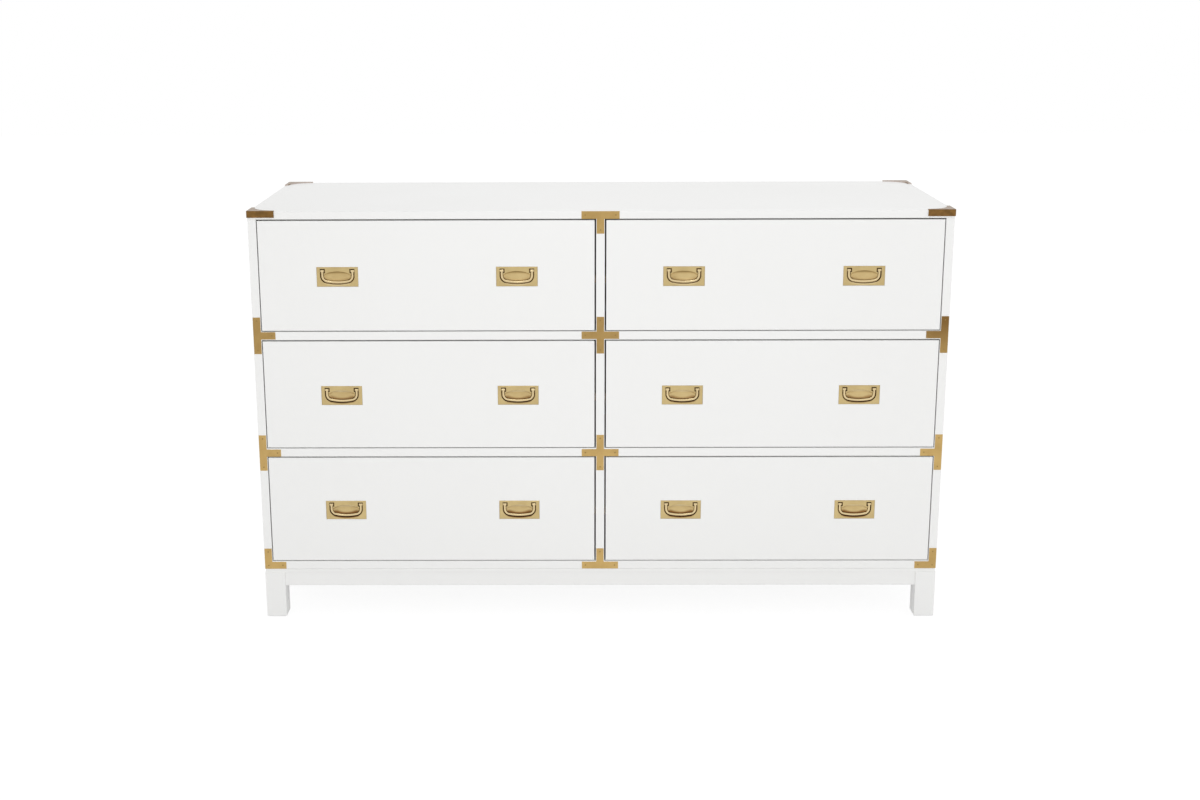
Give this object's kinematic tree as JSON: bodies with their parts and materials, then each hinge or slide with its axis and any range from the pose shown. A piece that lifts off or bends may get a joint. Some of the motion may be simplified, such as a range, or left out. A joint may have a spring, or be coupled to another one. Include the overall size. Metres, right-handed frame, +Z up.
{
  "type": "campaign chest",
  "caption": "White lacquered campaign chest with inset drawers in two columns on runners, brass straps and corner caps, flush pulls with swinging bails, and a low base on square legs.",
  "frame": {"origin": "on the floor, under the middle of the overall box", "axes": "+X to the right as seen from the front, +Y to the back (the drawers face -Y), +Z up"},
  "size_m": [1.526, 0.532, 0.9342],
  "materials": {
    "white_lacquer": "satin white lacquer",
    "antique_brass": "brushed antique",
    "drawer_wood": "clear sealed hardwood",
    "runner_wood": "bare hardwood",
    "back_board": "painted thin board",
    "floor_glide": "moulded"
  },
  "bodies": {
    "case": {"top_panel": "white_lacquer", "left_side_panel": "white_lacquer", "right_side_panel": "white_lacquer", "centre_partition": "white_lacquer", "bottom_panel": "white_lacquer", "back_panel": "back_board", "lower_left_rail": "white_lacquer", "lower_right_rail": "white_lacquer", "upper_left_rail": "white_lacquer", "upper_right_rail": "white_lacquer", "drawer_runners": "runner_wood", "drawer_stops": "runner_wood", "glue_blocks": "runner_wood", "top_corner_caps": "antique_brass", "strap_pins": "antique_brass", "top_tee": "antique_brass", "centre_crosses": "antique_brass", "bottom_tee": "antique_brass", "side_tees": "antique_brass", "bottom_corner_ells": "antique_brass", "base_deck": "white_lacquer", "front_apron": "white_lacquer", "back_apron": "white_lacquer", "left_apron": "white_lacquer", "right_apron": "white_lacquer", "front_left_leg": "white_lacquer", "front_right_leg": "white_lacquer", "back_left_leg": "white_lacquer", "back_right_leg": "white_lacquer", "floor_glides": "floor_glide"},
    "bottom_left_drawer": {"bottom_left_drawer_front": "white_lacquer", "bottom_left_drawer_box": "drawer_wood", "bottom_left_pull_plates": "antique_brass"},
    "bottom_left_left_bail": {"bottom_left_left_bail": "antique_brass"},
    "bottom_left_right_bail": {"bottom_left_right_bail": "antique_brass"},
    "bottom_right_drawer": {"bottom_right_drawer_front": "white_lacquer", "bottom_right_drawer_box": "drawer_wood", "bottom_right_pull_plates": "antique_brass"},
    "bottom_right_left_bail": {"bottom_right_left_bail": "antique_brass"},
    "bottom_right_right_bail": {"bottom_right_right_bail": "antique_brass"},
    "middle_left_drawer": {"middle_left_drawer_front": "white_lacquer", "middle_left_drawer_box": "drawer_wood", "middle_left_pull_plates": "antique_brass"},
    "middle_left_left_bail": {"middle_left_left_bail": "antique_brass"},
    "middle_left_right_bail": {"middle_left_right_bail": "antique_brass"},
    "middle_right_drawer": {"middle_right_drawer_front": "white_lacquer", "middle_right_drawer_box": "drawer_wood", "middle_right_pull_plates": "antique_brass"},
    "middle_right_left_bail": {"middle_right_left_bail": "antique_brass"},
    "middle_right_right_bail": {"middle_right_right_bail": "antique_brass"},
    "top_left_drawer": {"top_left_drawer_front": "white_lacquer", "top_left_drawer_box": "drawer_wood", "top_left_pull_plates": "antique_brass"},
    "top_left_left_bail": {"top_left_left_bail": "antique_brass"},
    "top_left_right_bail": {"top_left_right_bail": "antique_brass"},
    "top_right_drawer": {"top_right_drawer_front": "white_lacquer", "top_right_drawer_box": "drawer_wood", "top_right_pull_plates": "antique_brass"},
    "top_right_left_bail": {"top_right_left_bail": "antique_brass"},
    "top_right_right_bail": {"top_right_right_bail": "antique_brass"}
  },
  "joints": [
    {"name": "bottom_left_drawer_slide", "type": "slide", "parent": "case", "child": "bottom_left_drawer", "axis": [0, -1, 0], "range_m": [0, 0.36]},
    {"name": "bottom_left_left_bail_hinge", "type": "hinge", "parent": "bottom_left_drawer", "child": "bottom_left_left_bail", "pos_m": [-0.57125, -0.262, 0.2703], "axis": [-1, 0, 0], "range_deg": [0, 90]},
    {"name": "bottom_left_right_bail_hinge", "type": "hinge", "parent": "bottom_left_drawer", "child": "bottom_left_right_bail", "pos_m": [-0.18125, -0.262, 0.2703], "axis": [-1, 0, 0], "range_deg": [0, 90]},
    {"name": "bottom_right_drawer_slide", "type": "slide", "parent": "case", "child": "bottom_right_drawer", "axis": [0, -1, 0], "range_m": [0, 0.36]},
    {"name": "bottom_right_left_bail_hinge", "type": "hinge", "parent": "bottom_right_drawer", "child": "bottom_right_left_bail", "pos_m": [0.18125, -0.262, 0.2703], "axis": [-1, 0, 0], "range_deg": [0, 90]},
    {"name": "bottom_right_right_bail_hinge", "type": "hinge", "parent": "bottom_right_drawer", "child": "bottom_right_right_bail", "pos_m": [0.57125, -0.262, 0.2703], "axis": [-1, 0, 0], "range_deg": [0, 90]},
    {"name": "middle_left_drawer_slide", "type": "slide", "parent": "case", "child": "middle_left_drawer", "axis": [0, -1, 0], "range_m": [0, 0.36]},
    {"name": "middle_left_left_bail_hinge", "type": "hinge", "parent": "middle_left_drawer", "child": "middle_left_left_bail", "pos_m": [-0.57125, -0.262, 0.5363], "axis": [-1, 0, 0], "range_deg": [0, 90]},
    {"name": "middle_left_right_bail_hinge", "type": "hinge", "parent": "middle_left_drawer", "child": "middle_left_right_bail", "pos_m": [-0.18125, -0.262, 0.5363], "axis": [-1, 0, 0], "range_deg": [0, 90]},
    {"name": "middle_right_drawer_slide", "type": "slide", "parent": "case", "child": "middle_right_drawer", "axis": [0, -1, 0], "range_m": [0, 0.36]},
    {"name": "middle_right_left_bail_hinge", "type": "hinge", "parent": "middle_right_drawer", "child": "middle_right_left_bail", "pos_m": [0.18125, -0.262, 0.5363], "axis": [-1, 0, 0], "range_deg": [0, 90]},
    {"name": "middle_right_right_bail_hinge", "type": "hinge", "parent": "middle_right_drawer", "child": "middle_right_right_bail", "pos_m": [0.57125, -0.262, 0.5363], "axis": [-1, 0, 0], "range_deg": [0, 90]},
    {"name": "top_left_drawer_slide", "type": "slide", "parent": "case", "child": "top_left_drawer", "axis": [0, -1, 0], "range_m": [0, 0.36]},
    {"name": "top_left_left_bail_hinge", "type": "hinge", "parent": "top_left_drawer", "child": "top_left_left_bail", "pos_m": [-0.57125, -0.262, 0.8023], "axis": [-1, 0, 0], "range_deg": [0, 90]},
    {"name": "top_left_right_bail_hinge", "type": "hinge", "parent": "top_left_drawer", "child": "top_left_right_bail", "pos_m": [-0.18125, -0.262, 0.8023], "axis": [-1, 0, 0], "range_deg": [0, 90]},
    {"name": "top_right_drawer_slide", "type": "slide", "parent": "case", "child": "top_right_drawer", "axis": [0, -1, 0], "range_m": [0, 0.36]},
    {"name": "top_right_left_bail_hinge", "type": "hinge", "parent": "top_right_drawer", "child": "top_right_left_bail", "pos_m": [0.18125, -0.262, 0.8023], "axis": [-1, 0, 0], "range_deg": [0, 90]},
    {"name": "top_right_right_bail_hinge", "type": "hinge", "parent": "top_right_drawer", "child": "top_right_right_bail", "pos_m": [0.57125, -0.262, 0.8023], "axis": [-1, 0, 0], "range_deg": [0, 90]}
  ]
}
